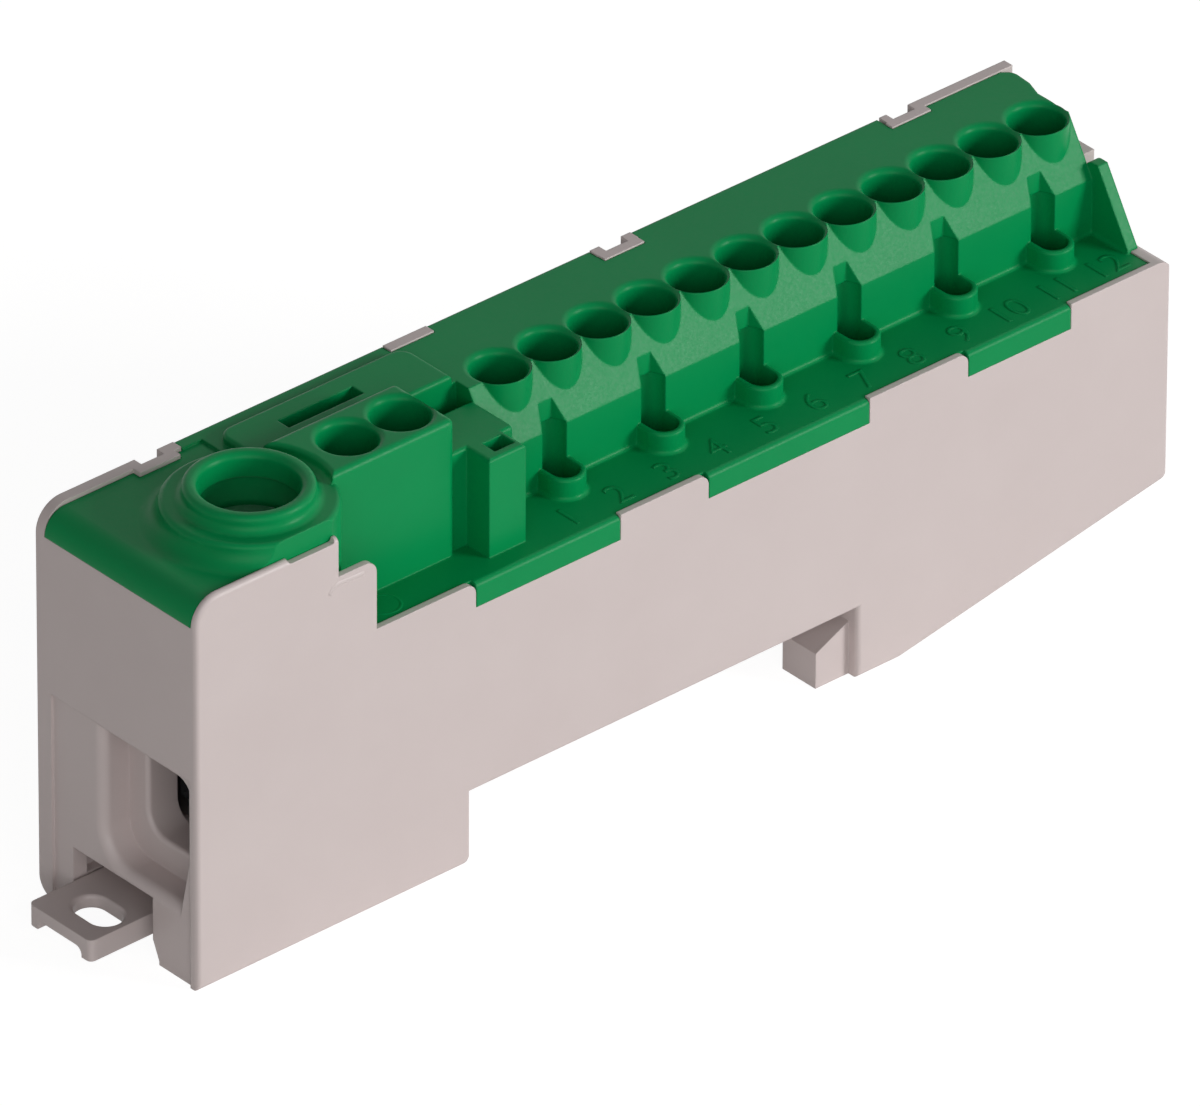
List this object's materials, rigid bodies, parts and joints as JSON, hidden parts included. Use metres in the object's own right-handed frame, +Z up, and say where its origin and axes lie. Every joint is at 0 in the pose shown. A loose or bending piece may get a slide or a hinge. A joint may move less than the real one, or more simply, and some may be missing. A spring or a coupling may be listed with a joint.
{
  "type": "earth terminal block",
  "caption": "Rail-mounted earth terminal block: grey housing with sliding latch, green cover with round wire entries, release pockets and a collar over a screw clamp",
  "frame": {"origin": "middle of the rail seat: halfway along the notch that takes the rail, halfway through the block's width, on the face that rests on the rail", "axes": "+X along the block and across the rail, from the wire funnel towards the row of entries; +Y along the rail, from the front face to the back; +Z up, away from the rail"},
  "size_m": [0.093, 0.0166, 0.0338],
  "materials": {
    "grey_plastic": "satin moulded, warm light grey",
    "green_plastic": "satin moulded, strong green",
    "tinned_bar": "tin-plated copper, dull",
    "plated_steel": "zinc-plated steel",
    "spring_steel": "bright spring strip"
  },
  "bodies": {
    "base": {"housing": "grey_plastic", "terminal_cover": "green_plastic", "busbar": "tinned_bar", "clamp_spring_01": "spring_steel", "clamp_spring_02": "spring_steel", "clamp_spring_03": "spring_steel", "clamp_spring_04": "spring_steel", "clamp_spring_05": "spring_steel", "clamp_spring_06": "spring_steel", "clamp_spring_07": "spring_steel", "clamp_spring_08": "spring_steel", "clamp_spring_09": "spring_steel", "clamp_spring_10": "spring_steel", "clamp_spring_11": "spring_steel", "clamp_spring_12": "spring_steel", "feeder_spring_1": "spring_steel", "feeder_spring_2": "spring_steel"},
    "latch": {"rail_latch": "grey_plastic"},
    "screw": {"clamp_screw": "plated_steel"},
    "cage": {"clamp_cage": "plated_steel"}
  },
  "joints": [
    {"name": "latch_slide", "type": "slide", "parent": "base", "child": "latch", "axis": [-1, 0, 0], "range_m": [0, 0.0032], "stiffness_N_per_m": 300},
    {"name": "screw_turn", "type": "hinge", "parent": "base", "child": "screw", "pos_m": [-0.0322, -0.0021, 0.0129], "axis": [0, 0, -1], "range_deg": [0, 2250]},
    {"name": "cage_lift", "type": "slide", "parent": "base", "child": "cage", "axis": [0, 0, 1], "range_m": [0, 0.005]}
  ],
  "couplings": [
    {"joint": "screw_turn", "follows": "cage_lift", "rad_per_m": 7854}
  ]
}
